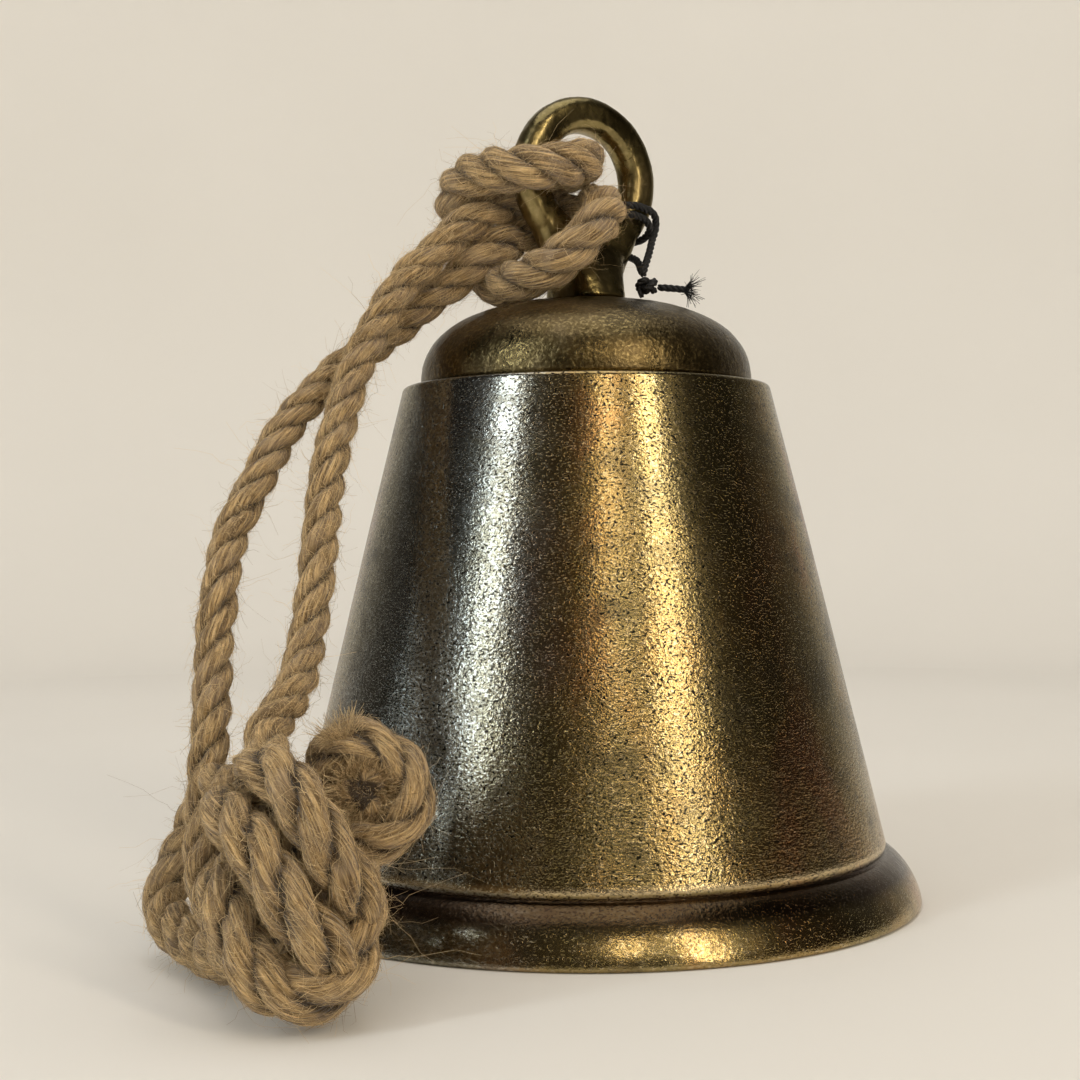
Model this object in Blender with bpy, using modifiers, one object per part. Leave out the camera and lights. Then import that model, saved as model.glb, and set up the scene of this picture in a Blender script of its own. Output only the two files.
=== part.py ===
"""Ship bell: a turned brass skirt under a cast crown with a hanging eye, a free-swinging clapper
inside, a doubled jute rope hitched to the eye and a thin tag cord tied round the eye's other leg.

Metres, +Z up. The origin is the centre of the mouth, on the surface that the bell stands on.
The hanging eye lies in the XZ plane, so its hole runs along Y.
"""

import math

import bmesh
import bpy
from mathutils import Vector

MM = 0.001
GAP = 0.3 * MM  # clearance between pieces that touch

# Driving dimensions
MOUTH_RADIUS = 63.4 * MM
WAIST_RADIUS = 57.2 * MM  # the skirt's foot, in the turned groove above the lip
WAIST_Z = 9.8 * MM
SHOULDER_RADIUS = 35.8 * MM
SHOULDER_Z = 98.6 * MM
SHOULDER_ROUND = 1.0 * MM
WALL = 3.0 * MM
LIP_INNER_RADIUS = 56.6 * MM
LIP_POWER = 1.5  # exponent of the superellipse that the lip's outer face follows

CROWN_RADIUS = 32.2 * MM
CROWN_HEIGHT = 16.7 * MM
CROWN_POWER = 2.45  # exponent of the superellipse that the dome follows
SPIGOT_RADIUS = 30.0 * MM
SPIGOT_DEPTH = 4.0 * MM

EYE_CENTRE_Z = 139.5 * MM
EYE_RADIUS = 16.0 * MM
EYE_HOLE_RADIUS = 9.0 * MM
EYE_THICKNESS = 6.4 * MM
EYE_EDGE = 1.9 * MM  # rounding of the eye's edges
EYE_ARC = (-44, 224)  # the round part of the eye's outer edge, in degrees
EYE_NECK = [(9.2 * MM, 123.2 * MM), (7.6 * MM, 119.6 * MM)]  # half width and height below the arc
# Sections of the eye's foot: half width, half depth and rise above the dome
EYE_FOOT = [(5.6 * MM, 8.8 * MM, 0.0), (5.8 * MM, 8.0 * MM, 1.8 * MM), (6.4 * MM, 6.8 * MM, 4.2 * MM),
            (7.8 * MM, 5.0 * MM, 7.6 * MM), (8.8 * MM, 2.8 * MM, 11.5 * MM)]
SHANK_RADIUS = 3.0 * MM
SHANK_HOLE_RADIUS = SHANK_RADIUS + GAP

WIRE = 1.3 * MM  # radius of the staple's, the link's and the clapper eye's wire
RING = 4.0 * MM  # radius of those rings, to the middle of the wire
LINK_STRAIGHT = 4.0 * MM
ROD_RADIUS = 2.0 * MM
BALL_RADIUS = 9.5 * MM
BALL_Z = 24.0 * MM

ROPE_DIAMETER = 6.2 * MM
TAG_CORD_DIAMETER = 1.25 * MM

# Heights down the middle, each worked out from the one above it
CROWN_SEAT_Z = SHOULDER_Z + GAP
CROWN_TOP_Z = CROWN_SEAT_Z + CROWN_HEIGHT
BOSS_Z = CROWN_TOP_Z - 4.0 * MM  # the flat inside the dome that the washer bears on
WASHER_THICKNESS = 1.6 * MM
WASHER_RADIUS = 9.0 * MM
NUT_WIDTH = 10.0 * MM  # across flats
NUT_HEIGHT = 4.0 * MM
STAPLE_NUT_HEIGHT = 6.6 * MM
WASHER_Z = BOSS_Z - GAP - WASHER_THICKNESS
LOCKNUT_Z = WASHER_Z - GAP - NUT_HEIGHT
STAPLE_NUT_Z = LOCKNUT_Z - GAP - STAPLE_NUT_HEIGHT
STAPLE_PIVOT_Z = STAPLE_NUT_Z - 2 * RING + 0.6 * MM
LINK_TOP_Z = STAPLE_PIVOT_Z + 2 * WIRE + GAP
LINK_PIVOT_Z = LINK_TOP_Z - 2 * RING - LINK_STRAIGHT
CLAPPER_EYE_Z = LINK_PIVOT_Z + 2 * WIRE + GAP - RING

# Rope and cord routes, in millimetres. The hitch starts behind the eye's near leg, comes forward
# through the hole, round the leg, behind both falls, round the leg again and out behind it.
HITCH_ROUTE = [
    (-14.4, 6.8, 134.8), (-10.2, 7.2, 136.2), (-5.6, 6.4, 139.2), (-2.6, 1.5, 141.4),
    (-3.2, -5.0, 141.8), (-8.4, -8.3, 140.0), (-13.9, -8.0, 139.1), (-18.7, -4.6, 138.7),
    (-21.4, 1.6, 138.9), (-22.4, 8.0, 138.3), (-20.8, 14.0, 135.4), (-17.0, 17.8, 130.8),
    (-14.2, 17.4, 125.4), (-13.2, 13.1, 120.6), (-14.9, 6.8, 118.5), (-15.8, -0.5, 118.4),
    (-12.6, -8.8, 121.1), (-7.1, -11.5, 126.4), (-2.2, -9.3, 131.0), (0.9, -3.5, 134.0),
    (-0.2, 3.7, 133.2), (-5.7, 7.6, 130.8), (-11.2, 8.0, 127.8),
]
RIGHT_FALL_ROUTE = [
    (-15.3, 6.9, 134.3), (-19.6, 7.3, 131.8), (-24.1, 7.9, 128.4), (-29.6, 8.6, 123.2),
    (-35.1, 9.0, 118.0), (-39.3, 8.4, 112.7), (-43.1, 7.3, 107.0), (-46.5, 5.9, 102.0),
    (-48.9, 4.7, 97.5), (-52.9, 2.2, 88.7), (-55.3, 0.2, 83.5), (-58.0, -2.9, 76.3),
    (-61.4, -7.8, 67.5), (-65.0, -12.6, 57.6), (-68.0, -16.2, 51.2), (-71.4, -20.4, 46.6),
    (-75.0, -24.4, 43.4), (-78.8, -27.8, 40.8), (-81.6, -30.6, 38.8),
]
LEFT_FALL_ROUTE = [
    (-12.2, 8.0, 127.5), (-15.2, 7.0, 126.4), (-19.1, 8.1, 123.6), (-23.2, 10.9, 119.3),
    (-27.9, 13.0, 115.2), (-32.2, 14.4, 111.2), (-36.7, 15.4, 107.6), (-41.3, 15.8, 104.6),
    (-45.9, 15.4, 101.3), (-51.4, 14.3, 96.5), (-56.6, 12.9, 91.6), (-62.1, 10.5, 85.1),
    (-66.1, 8.4, 79.2), (-70.8, 6.6, 72.0), (-74.4, 3.0, 65.0), (-77.5, -0.9, 55.4),
    (-79.9, -5.3, 47.4), (-81.8, -8.9, 39.8), (-83.9, -12.3, 32.0), (-85.8, -15.8, 24.4),
    (-87.4, -19.4, 18.7), (-88.4, -24.0, 14.2), (-88.7, -29.4, 11.6),
]
SIDE_BIGHT_ROUTE = [
    (-86.4, -9.4, 17.6), (-87.6, -2.0, 13.6), (-89.4, 3.6, 8.6), (-89.2, 6.0, 4.2),
    (-87.0, 1.6, 3.4), (-86.2, -6.0, 3.4), (-86.6, -14.0, 3.6), (-87.2, -22.6, 4.2),
]
TAG_TURNS_ROUTE = [
    (9.6, -6.0, 120.6), (10.6, -5.4, 122.6), (12.2, -4.6, 125.4), (13.8, -3.6, 128.4),
    (14.8, -3.4, 131.2), (13.4, -4.6, 133.4), (9.8, -4.9, 134.4), (6.4, -4.4, 134.4),
    (5.4, 0.0, 134.4), (6.2, 4.3, 133.2), (9.6, 4.8, 130.9), (12.6, 3.5, 129.2), (13.6, 0.2, 128.8),
    (13.3, -3.4, 130.2), (11.4, -4.7, 131.9), (8.2, -4.8, 132.7), (4.9, -4.4, 132.6),
    (4.7, -0.2, 133.2), (4.9, 4.4, 131.8), (8.2, 5.1, 129.0), (11.2, 4.4, 126.6),
    (12.2, 1.2, 125.4), (11.6, -1.8, 124.0), (10.9, -4.0, 121.4),
]
TAG_TAIL_ROUTE = [(10.6, -9.4, 118.0), (12.6, -11.4, 117.7), (14.8, -13.4, 117.3)]
TAG_KNOT_CENTRE = Vector((8.6, -8.4, 118.4)) * MM
TAG_KNOT_SIZE = Vector((4.2, 3.6, 3.6)) * MM

KNOT_CENTRE = Vector((-85.0, -46.4, 20.6)) * MM
KNOT_SIZE = Vector((25.0, 17.0, 41.0)) * MM
END_TURN_CENTRE = Vector((-67.4, -41.5, 31.0)) * MM
END_TURN_RADIUS = 6.4 * MM
VIEW_TURN = math.radians(-33.0)  # the knot's broad side faces this way about Z


def material(name, colour, roughness, metallic):
    made = bpy.data.materials.new(name)
    made.use_nodes = True
    shader = made.node_tree.nodes["Principled BSDF"]
    shader.inputs["Base Color"].default_value = (*colour, 1.0)
    shader.inputs["Roughness"].default_value = roughness
    shader.inputs["Metallic"].default_value = metallic
    return made


def add_object(name, data, collection, finish=None):
    """Links a new object holding this mesh or curve, with one material."""
    made = bpy.data.objects.new(name, data)
    collection.objects.link(made)
    if finish:
        data.materials.append(finish)
    return made


def add_bmesh(name, shape, collection, finish=None):
    data = bpy.data.meshes.new(name)
    shape.to_mesh(data)
    shape.free()
    made = add_object(name, data, collection, finish)
    if finish:
        data.shade_smooth()
        data.set_sharp_from_angle(angle=math.radians(35))
    return made


def arc(centre_r, centre_z, radius, start, end, count):
    """Points (r, z) along an arc, from start to end degrees."""
    turns = [math.radians(start + (end - start) * i / count) for i in range(count + 1)]
    return [(centre_r + radius * math.cos(t), centre_z + radius * math.sin(t)) for t in turns]


def turned(name, profile, collection, finish, steps=64):
    """A closed profile of (r, z) points, running down its outer side, turned about Z."""
    shape = bmesh.new()
    corners = [shape.verts.new((r, 0.0, z)) for r, z in profile]
    for i, corner in enumerate(corners):
        following = corners[(i + 1) % len(corners)]
        if corner.co.x > 0 or following.co.x > 0:
            shape.edges.new((corner, following))
    made = add_bmesh(name, shape, collection, finish)
    screw = made.modifiers.new("Turn", "SCREW")
    screw.steps = screw.render_steps = steps
    screw.use_merge_vertices = True
    screw.merge_threshold = 0.00001
    return made


def smooth_route(route, step):
    """Points about one step apart along a Catmull-Rom curve through the route's own points."""
    ends = [route[0] * 2 - route[1]] + route + [route[-1] * 2 - route[-2]]
    fine = []
    for a, b, c, d in zip(ends, ends[1:], ends[2:], ends[3:]):
        for i in range(16):
            t = i / 16
            fine.append(0.5 * (2 * b + (c - a) * t + (2 * a - 5 * b + 4 * c - d) * t**2
                               + (3 * b - a - 3 * c + d) * t**3))
    fine.append(route[-1])
    travelled = [0.0]
    for a, b in zip(fine, fine[1:]):
        travelled.append(travelled[-1] + (b - a).length)
    count = max(2, round(travelled[-1] / step))
    points = []
    at = 0
    for i in range(count + 1):
        wanted = travelled[-1] * i / count
        while at < len(fine) - 2 and travelled[at + 1] < wanted:
            at += 1
        share = (wanted - travelled[at]) / (travelled[at + 1] - travelled[at])
        points.append(fine[at].lerp(fine[at + 1], share))
    return points


def tube(name, points, diameter, collection, finish, cyclic=False):
    """A round bar along these points, with flat filled ends unless it closes on itself."""
    data = bpy.data.curves.new(name, "CURVE")
    data.dimensions = "3D"
    data.bevel_depth = diameter / 2
    data.bevel_resolution = 2
    data.use_fill_caps = not cyclic
    line = data.splines.new("POLY")
    line.points.add(len(points) - 1)
    for place, point in zip(line.points, points):
        place.co = (*point, 1.0)
    line.use_cyclic_u = cyclic
    return add_object(name, data, collection, finish)


def as_mesh(curve_object, collection):
    """The same piece as a mesh, with its loose caps welded on, ready for a Boolean."""
    graph = bpy.context.evaluated_depsgraph_get()
    data = bpy.data.meshes.new_from_object(curve_object.evaluated_get(graph))
    shape = bmesh.new()
    shape.from_mesh(data)
    bmesh.ops.remove_doubles(shape, verts=shape.verts, dist=0.00001)
    bmesh.ops.recalc_face_normals(shape, faces=shape.faces)
    shape.to_mesh(data)
    shape.free()
    name = curve_object.name
    place = curve_object.matrix_world.copy()
    bpy.data.objects.remove(curve_object)
    made = add_object(name, data, collection)
    made.matrix_world = place
    return made


def boolean(target, tool, operation):
    """Adds an exact Boolean and hides its tool, which stays as a guide."""
    modifier = target.modifiers.new(tool.name, "BOOLEAN")
    modifier.operation = operation
    modifier.object = tool
    tool.hide_render = True
    tool.display_type = "WIRE"


def ring_points(centre, along, across, radius, straight=0.0, count=24):
    """Points round a circle in the plane of two unit vectors, stretched by straight along the second."""
    points = []
    for i in range(count):
        turn = 2 * math.pi * (i + 0.5) / count
        stretch = math.copysign(straight / 2, math.sin(turn))
        points.append(centre + along * radius * math.cos(turn)
                      + across * (radius * math.sin(turn) + stretch))
    return points


def bar(name, radius, bottom, top, collection, finish=None, sides=32):
    shape = bmesh.new()
    bmesh.ops.create_cone(shape, cap_ends=True, segments=sides, radius1=radius, radius2=radius,
                          depth=top - bottom)
    bmesh.ops.translate(shape, verts=shape.verts, vec=(0, 0, (top + bottom) / 2))
    return add_bmesh(name, shape, collection, finish)


def skirt_radius(z):
    """Outer radius of the straight, tapering wall at this height."""
    share = (z - WAIST_Z) / (SHOULDER_Z - WAIST_Z)
    return WAIST_RADIUS + share * (SHOULDER_RADIUS - WAIST_RADIUS)


def bell_skirt(collection, finish):
    """The turned body: shoulder and seat, tapering wall, groove, and the bulging lip at the mouth."""
    flange_underside = SHOULDER_Z - 3.0 * MM
    seat_radius = SPIGOT_RADIUS + GAP
    outer = arc(SHOULDER_RADIUS - SHOULDER_ROUND, SHOULDER_Z - SHOULDER_ROUND, SHOULDER_ROUND, 90, 10, 4)
    outer += [(skirt_radius(z), z) for z in (70 * MM, 40 * MM, WAIST_Z + 1.4 * MM)]
    outer += [(WAIST_RADIUS - 0.5 * MM, WAIST_Z + 0.6 * MM), (WAIST_RADIUS - 0.3 * MM, WAIST_Z)]
    lip_foot = 0.6 * MM
    lip_bulge = MOUTH_RADIUS - WAIST_RADIUS + 0.2 * MM
    for i in range(8):
        turn = math.radians(80 - 80 * i / 7)
        across = math.cos(turn) ** (2 / LIP_POWER)
        rise = math.sin(turn) ** (2 / LIP_POWER)
        outer.append((MOUTH_RADIUS - lip_bulge * (1 - across), lip_foot + (WAIST_Z - lip_foot) * rise))
    rim = [(MOUTH_RADIUS - 0.6 * MM, 0.0), (LIP_INNER_RADIUS + 0.8 * MM, 0.0)]
    inner = [(LIP_INNER_RADIUS, 0.8 * MM), (LIP_INNER_RADIUS - 0.8 * MM, 5 * MM)]
    inner += [(skirt_radius(z) - WALL, z)
              for z in (14 * MM, 40 * MM, 70 * MM, flange_underside - 1.5 * MM)]
    inner += [(seat_radius + 0.8 * MM, flange_underside), (seat_radius, flange_underside)]
    turned("bell_skirt", outer + rim + inner + [(seat_radius, SHOULDER_Z)], collection, finish, steps=80)


def dome_points(radius, height, base_z, start_r):
    """Superellipse points from start_r outwards, ending on the base."""
    first = math.asin(start_r / radius)
    points = []
    for i in range(9):
        turn = first + (math.pi / 2 - first) * i / 8
        r = radius * math.sin(turn) ** (2 / CROWN_POWER) if i < 8 else radius
        points.append((r, base_z + height * max(0.0, math.cos(turn)) ** (2 / CROWN_POWER)))
    return points


def crown_dome(collection, finish):
    """The cast cap: a dome with a drilled flat boss inside and a spigot that drops into the skirt."""
    outer = dome_points(CROWN_RADIUS, CROWN_HEIGHT, CROWN_SEAT_Z, 4.2 * MM)
    spigot_foot = SHOULDER_Z - SPIGOT_DEPTH
    outer += [(SPIGOT_RADIUS, CROWN_SEAT_Z), (SPIGOT_RADIUS, spigot_foot)]
    bore = SPIGOT_RADIUS - 2.6 * MM
    inner = dome_points(bore, CROWN_HEIGHT - 3.2 * MM, CROWN_SEAT_Z, 10 * MM)[::-1]
    inner = [(bore, spigot_foot)] + [(r, min(z, BOSS_Z)) for r, z in inner]
    hole = [(SHANK_HOLE_RADIUS, BOSS_Z), (SHANK_HOLE_RADIUS, CROWN_TOP_Z)]
    turned("crown_dome", outer + inner + hole, collection, finish, steps=64)


def loft(name, sections, collection):
    """A closed solid through rounded rectangles, each (half x, half y, z)."""
    shape = bmesh.new()
    rings = []
    for half_x, half_y, z in sections:
        ring = []
        for i in range(24):
            turn = 2 * math.pi * (i + 0.5) / 24
            x = math.copysign(abs(math.cos(turn)) ** 0.6, math.cos(turn)) * half_x
            y = math.copysign(abs(math.sin(turn)) ** 0.6, math.sin(turn)) * half_y
            ring.append(shape.verts.new((x, y, z)))
        rings.append(ring)
    for lower, upper in zip(rings, rings[1:]):
        for i in range(24):
            j = (i + 1) % 24
            shape.faces.new((lower[i], lower[j], upper[j], upper[i]))
    shape.faces.new(rings[0][::-1])
    shape.faces.new(rings[-1])
    return add_bmesh(name, shape, collection)


def eye_outline(count):
    """The eye's outer edge in X and Z: most of a circle that draws in to the neck."""
    points = []
    for i in range(count + 1):
        turn = math.radians(EYE_ARC[0] + (EYE_ARC[1] - EYE_ARC[0]) * i / count)
        points.append((EYE_RADIUS * math.cos(turn), EYE_CENTRE_Z + EYE_RADIUS * math.sin(turn)))
    return [(-x, z) for x, z in EYE_NECK] + EYE_NECK[::-1] + points


def hanging_eye(collection, finish, guides):
    """The cast eye on its spreading foot, with the shank that passes down through the crown."""
    data = bpy.data.curves.new("hanging_eye", "CURVE")
    data.dimensions = "2D"
    data.fill_mode = "BOTH"
    data.extrude = EYE_THICKNESS / 2 - EYE_EDGE
    data.bevel_depth = EYE_EDGE
    data.offset = -EYE_EDGE
    data.bevel_resolution = 2
    hole = [(EYE_HOLE_RADIUS * math.cos(t), EYE_CENTRE_Z + EYE_HOLE_RADIUS * math.sin(t))
            for t in [2 * math.pi * i / 36 for i in range(36)]]
    for outline in (eye_outline(32), hole):
        line = data.splines.new("POLY")
        line.points.add(len(outline) - 1)
        for place, (x, z) in zip(line.points, outline):
            place.co = (x, z, 0.0, 1.0)
        line.use_cyclic_u = True
    flat = add_object("hanging_eye", data, collection)
    flat.rotation_euler.x = math.pi / 2
    bpy.context.view_layer.update()
    eye = as_mesh(flat, collection)
    foot_z = CROWN_TOP_Z + GAP
    sections = [(half_x, half_y, foot_z + rise) for half_x, half_y, rise in EYE_FOOT]
    foot = loft("eye_foot", sections, guides)
    shank = bar("eye_shank", SHANK_RADIUS, STAPLE_NUT_Z + 2.8 * MM, foot_z + 3 * MM, guides)
    boolean(eye, foot, "UNION")
    boolean(eye, shank, "UNION")
    eye.data.materials.append(finish)


def hexagon(name, across_flats, bottom, top, hole_radius, hole_bottom, collection, finish, guides):
    """A nut: a six-sided bar with a round hole from its top down to hole_bottom."""
    nut = bar(name, across_flats / math.sqrt(3), bottom, top, collection, finish, sides=6)
    drill = bar(name + "_drill", hole_radius, hole_bottom, top + 1 * MM, guides)
    boolean(nut, drill, "DIFFERENCE")
    return nut


def crown_fasteners(collection, finish, guides):
    """The washer and locknut under the crown, and the nut with a staple that the clapper hangs from."""
    washer_top = WASHER_Z + WASHER_THICKNESS
    turned("crown_washer", [(WASHER_RADIUS, washer_top), (WASHER_RADIUS, WASHER_Z),
                            (SHANK_HOLE_RADIUS, WASHER_Z), (SHANK_HOLE_RADIUS, washer_top)],
           collection, finish, steps=40)
    hexagon("crown_locknut", NUT_WIDTH, LOCKNUT_Z, LOCKNUT_Z + NUT_HEIGHT, SHANK_HOLE_RADIUS,
            LOCKNUT_Z - 1 * MM, collection, finish, guides)
    staple = hexagon("clapper_staple", NUT_WIDTH, STAPLE_NUT_Z, STAPLE_NUT_Z + STAPLE_NUT_HEIGHT,
                     SHANK_HOLE_RADIUS, STAPLE_NUT_Z + 2.4 * MM, collection, finish, guides)
    centre = Vector((0, 0, STAPLE_PIVOT_Z + RING))
    loop = tube("staple_loop", ring_points(centre, Vector((1, 0, 0)), Vector((0, 0, 1)), RING),
                2 * WIRE, guides, None, cyclic=True)
    boolean(staple, as_mesh(loop, guides), "UNION")


def clapper(collection, finish, ball_finish, guides):
    """The link, the rod with its eye and riveted foot, the drilled ball and the collar above it."""
    middle = Vector((0, 0, (LINK_TOP_Z + LINK_PIVOT_Z) / 2))
    tube("clapper_link", ring_points(middle, Vector((0, 1, 0)), Vector((0, 0, 1)), RING, LINK_STRAIGHT),
         2 * WIRE, collection, finish, cyclic=True)
    eye_bottom = CLAPPER_EYE_Z - RING
    head_top = BALL_Z - BALL_RADIUS - 0.2 * MM
    rod = turned("clapper_rod", [(0.0, eye_bottom + 0.6 * MM), (ROD_RADIUS, eye_bottom - 0.4 * MM),
                                 (ROD_RADIUS, head_top), (3.6 * MM, head_top), (3.6 * MM, head_top - 1.6 * MM),
                                 (2.4 * MM, head_top - 3.0 * MM), (0.0, head_top - 3.4 * MM)],
                 collection, finish, steps=28)
    centre = Vector((0, 0, CLAPPER_EYE_Z))
    loop = tube("rod_eye", ring_points(centre, Vector((1, 0, 0)), Vector((0, 0, 1)), RING),
                2 * WIRE, guides, None, cyclic=True)
    boolean(rod, as_mesh(loop, guides), "UNION")
    bore = ROD_RADIUS + GAP
    top = math.degrees(math.acos(bore / BALL_RADIUS))
    turned("clapper_ball", arc(0, BALL_Z, BALL_RADIUS, top, -top, 14), collection, ball_finish, steps=40)
    collar_z = BALL_Z + BALL_RADIUS + 0.1 * MM
    turned("clapper_collar", [(3.4 * MM, collar_z + 3 * MM), (3.8 * MM, collar_z + 1.5 * MM),
                              (3.4 * MM, collar_z), (bore, collar_z), (bore, collar_z + 3 * MM)],
           collection, finish, steps=28)


def blob(name, centre, size, collection, finish, turn=0.0):
    """A plain rounded solid that stands for a knot, standing on or above the surface."""
    shape = bmesh.new()
    bmesh.ops.create_uvsphere(shape, u_segments=20, v_segments=12, radius=0.5)
    bmesh.ops.scale(shape, verts=shape.verts, vec=size)
    made = add_bmesh(name, shape, collection, finish)
    made.location = centre
    made.rotation_euler.z = turn
    return made


def jute_rope(collection, finish):
    """The rope: the hitch on the eye, its two falls, and the plain bodies of the knot at the foot."""
    routes = {"rope_hitch": HITCH_ROUTE, "rope_right_fall": RIGHT_FALL_ROUTE,
              "rope_left_fall": LEFT_FALL_ROUTE, "rope_side_bight": SIDE_BIGHT_ROUTE}
    for name, route in routes.items():
        points = smooth_route([Vector(point) * MM for point in route], 0.6 * ROPE_DIAMETER)
        tube(name, points, ROPE_DIAMETER, collection, finish)
    blob("rope_knot", KNOT_CENTRE, KNOT_SIZE, collection, finish, VIEW_TURN)
    facing = Vector((math.sin(VIEW_TURN), -math.cos(VIEW_TURN), 0.0))
    across = Vector((math.cos(VIEW_TURN), math.sin(VIEW_TURN), 0.0))
    turn = ring_points(END_TURN_CENTRE, across, Vector((0, 0, 1)), END_TURN_RADIUS, count=16)
    tube("rope_end_turn", turn, 0.9 * ROPE_DIAMETER, collection, finish, cyclic=True)
    tube("rope_cut_end", [END_TURN_CENTRE - facing * 4 * MM, END_TURN_CENTRE + facing * 5 * MM],
         ROPE_DIAMETER, collection, finish)


def tag_cord(collection, finish):
    """The thin cord: two turns round the eye's far leg, a knot beside the foot, and its cut tail."""
    for name, route in {"tag_cord_turns": TAG_TURNS_ROUTE, "tag_cord_tail": TAG_TAIL_ROUTE}.items():
        points = smooth_route([Vector(point) * MM for point in route], 2 * TAG_CORD_DIAMETER)
        tube(name, points, TAG_CORD_DIAMETER, collection, finish)
    blob("tag_cord_knot", TAG_KNOT_CENTRE, TAG_KNOT_SIZE, collection, finish)


def main():
    for old in list(bpy.data.objects):
        bpy.data.objects.remove(old)
    parts = bpy.data.collections.new("ship_bell")
    guides = bpy.data.collections.new("cutters")
    for collection in (parts, guides):
        bpy.context.scene.collection.children.link(collection)
    polished = material("polished_brass", (0.42, 0.31, 0.13), 0.28, 1.0)
    cast = material("cast_bronze", (0.25, 0.19, 0.10), 0.55, 1.0)
    steel = material("dark_fittings", (0.30, 0.24, 0.14), 0.45, 1.0)
    jute = material("jute", (0.42, 0.31, 0.19), 0.95, 0.0)
    black = material("black_cord", (0.02, 0.02, 0.02), 0.7, 0.0)
    bell_skirt(parts, polished)
    crown_dome(parts, cast)
    hanging_eye(parts, cast, guides)
    crown_fasteners(parts, steel, guides)
    clapper(parts, steel, polished, guides)
    jute_rope(parts, jute)
    tag_cord(parts, black)


main()
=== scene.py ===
import math

import bpy
import numpy as np
from mathutils import Matrix, Vector


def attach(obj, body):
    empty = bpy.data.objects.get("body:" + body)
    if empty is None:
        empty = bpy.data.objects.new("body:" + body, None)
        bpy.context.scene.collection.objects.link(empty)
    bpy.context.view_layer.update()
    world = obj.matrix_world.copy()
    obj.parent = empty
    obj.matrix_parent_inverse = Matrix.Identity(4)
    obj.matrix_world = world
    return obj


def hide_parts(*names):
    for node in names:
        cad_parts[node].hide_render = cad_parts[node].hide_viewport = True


MM = 0.001
VIEW_TURN = math.radians(33.0)  # how far round from the front of the frame the camera stands

# The camera's own directions, level with the table.
RIGHT = np.array([math.cos(VIEW_TURN), -math.sin(VIEW_TURN), 0.0])
NEAR = np.array([-math.sin(VIEW_TURN), -math.cos(VIEW_TURN), 0.0])
UP = np.array([0.0, 0.0, 1.0])

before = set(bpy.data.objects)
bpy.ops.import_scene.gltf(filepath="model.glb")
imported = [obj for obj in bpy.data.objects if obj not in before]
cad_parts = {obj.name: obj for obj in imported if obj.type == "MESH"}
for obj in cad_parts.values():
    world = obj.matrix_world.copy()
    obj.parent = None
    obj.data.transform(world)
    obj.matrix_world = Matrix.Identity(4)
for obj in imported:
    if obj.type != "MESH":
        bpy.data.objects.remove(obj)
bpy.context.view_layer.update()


# ---------------------------------------------------------------- camera

CAMERA_PLACE = (-9.19, 332.66, 68.05)  # right, towards the camera and up, in mm
CAMERA_LENS, CAMERA_SENSOR = 56.67, 36.0
CAMERA_PITCH, CAMERA_ROLL = -0.003, -0.0075


def viewed(points):
    """Points of the shared frame, in mm, from (right, towards the camera, up) ones."""
    points = np.asarray(points, float).reshape(-1, 3)
    return points[:, :1] * RIGHT + points[:, 1:2] * NEAR + points[:, 2:] * UP


def add_camera():
    data = bpy.data.cameras.new("camera")
    data.lens = CAMERA_LENS
    data.sensor_width = CAMERA_SENSOR
    data.clip_start = 0.01
    camera = linked("camera", data)
    forward = -NEAR * math.cos(CAMERA_PITCH) - UP * math.sin(CAMERA_PITCH)
    above = -NEAR * math.sin(CAMERA_PITCH) + UP * math.cos(CAMERA_PITCH)
    across = RIGHT * math.cos(CAMERA_ROLL) + above * math.sin(CAMERA_ROLL)
    top = -RIGHT * math.sin(CAMERA_ROLL) + above * math.cos(CAMERA_ROLL)
    place = viewed(CAMERA_PLACE)[0] * MM
    camera.matrix_world = Matrix([(across[i], top[i], -forward[i], place[i]) for i in range(3)]
                                 + [(0, 0, 0, 1)])
    bpy.context.scene.camera = camera


# ---------------------------------------------------------------- mesh helpers (all in mm)

HASH_PRIMES = (374761393, 668265263, 2147483647, 974634777)
HASH_MIXER = 1274126177
NOISE_OFFSET = 1000.5  # keeps every lattice number above zero


def hashed(ix, iy, iz, seed):
    """A number from -1 to 1 for each whole-numbered lattice corner."""
    mixed = sum(number * prime for number, prime in zip((ix, iy, iz, seed), HASH_PRIMES))
    mixed = (mixed ^ (mixed >> 13)) * HASH_MIXER
    mixed = mixed ^ (mixed >> 16)
    return (mixed & 0xFFFFFF) / float(0x7FFFFF) - 1.0


def noise(points, size, seed=0, octaves=1):
    """Smooth value noise at points (n, 3), with features about size across."""
    total = np.zeros(len(points))
    weight = 1.0
    reach = 0.0
    for octave in range(octaves):
        lattice = points / size * 2**octave + NOISE_OFFSET
        base = np.floor(lattice).astype(np.int64)
        part = lattice - base
        part = part * part * part * (part * (part * 6 - 15) + 10)
        value = np.zeros(len(points))
        for corner in range(8):
            step = [corner & 1, corner >> 1 & 1, corner >> 2 & 1]
            share = np.ones(len(points))
            for k in range(3):
                share = share * (part[:, k] if step[k] else 1 - part[:, k])
            value += share * hashed(*(base[:, k] + step[k] for k in range(3)), seed + octave)
        total += weight * value
        reach += weight
        weight *= 0.5
    return total / reach


ROUTE_DIVISIONS = 24


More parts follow.
